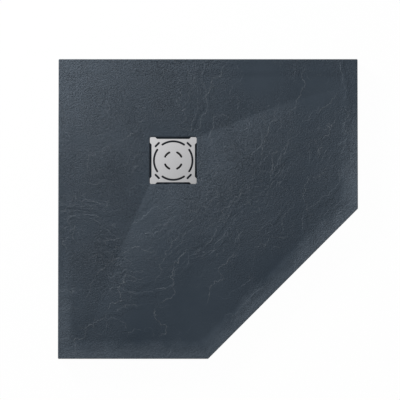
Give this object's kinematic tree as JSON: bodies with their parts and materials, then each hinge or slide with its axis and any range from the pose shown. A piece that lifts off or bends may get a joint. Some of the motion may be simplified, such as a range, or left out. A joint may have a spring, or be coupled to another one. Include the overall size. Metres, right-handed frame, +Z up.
{
  "type": "shower tray",
  "caption": "Low five-sided slate-effect resin shower tray with a slanting front, three floor falls, a slotted square steel waste cover and a cleanable trap.",
  "frame": {"origin": "middle of the 900 mm square that the tray would be without its slanting front, on the underside", "axes": "+Z up out of the shower floor, +X to the right and +Y to the back as seen by someone at the front; -X and +Y are the wall sides"},
  "size_m": [0.9, 0.9, 0.125],
  "materials": {
    "slate_resin": "matt slate-textured gel coat",
    "satin_stainless": "satin",
    "screw_steel": "machined",
    "black_rubber": "moulded",
    "trap_plastic": "moulded, fine grain",
    "dip_plastic": "moulded",
    "strainer_plastic": "moulded",
    "nut_plastic": "moulded, ribbed",
    "washer_plastic": "smooth",
    "insert_brass": "knurled"
  },
  "bodies": {
    "tray": {"tray_body": "slate_resin", "waste_flange": "satin_stainless", "flange_screws": "screw_steel", "screw_inserts": "insert_brass", "upper_gasket": "black_rubber", "lower_gasket": "black_rubber", "trap_body": "trap_plastic", "ball_seal": "black_rubber", "slip_washer": "washer_plastic", "ball_nut": "nut_plastic"},
    "trap_insert": {"dip_tube": "dip_plastic", "dip_tube_ring": "black_rubber"},
    "strainer": {"hair_strainer": "strainer_plastic"},
    "cover": {"waste_cover": "satin_stainless", "cover_pads": "black_rubber"},
    "outlet": {"outlet_tail": "trap_plastic", "pipe_seal": "black_rubber", "pipe_nut": "nut_plastic"}
  },
  "joints": [
    {"name": "insert_lift", "type": "slide", "parent": "tray", "child": "trap_insert", "axis": [0, 0, 1], "range_m": [0, 0.12]},
    {"name": "strainer_lift", "type": "slide", "parent": "trap_insert", "child": "strainer", "axis": [0, 0, 1], "range_m": [0, 0.04]},
    {"name": "cover_lift", "type": "slide", "parent": "strainer", "child": "cover", "axis": [0, 0, 1], "range_m": [0, 0.06]},
    {"name": "outlet_swing", "type": "hinge", "parent": "tray", "child": "outlet", "pos_m": [-0.171, 0.145, -0.038], "axis": [0, 0, 1], "range_deg": [-10, 10]}
  ]
}
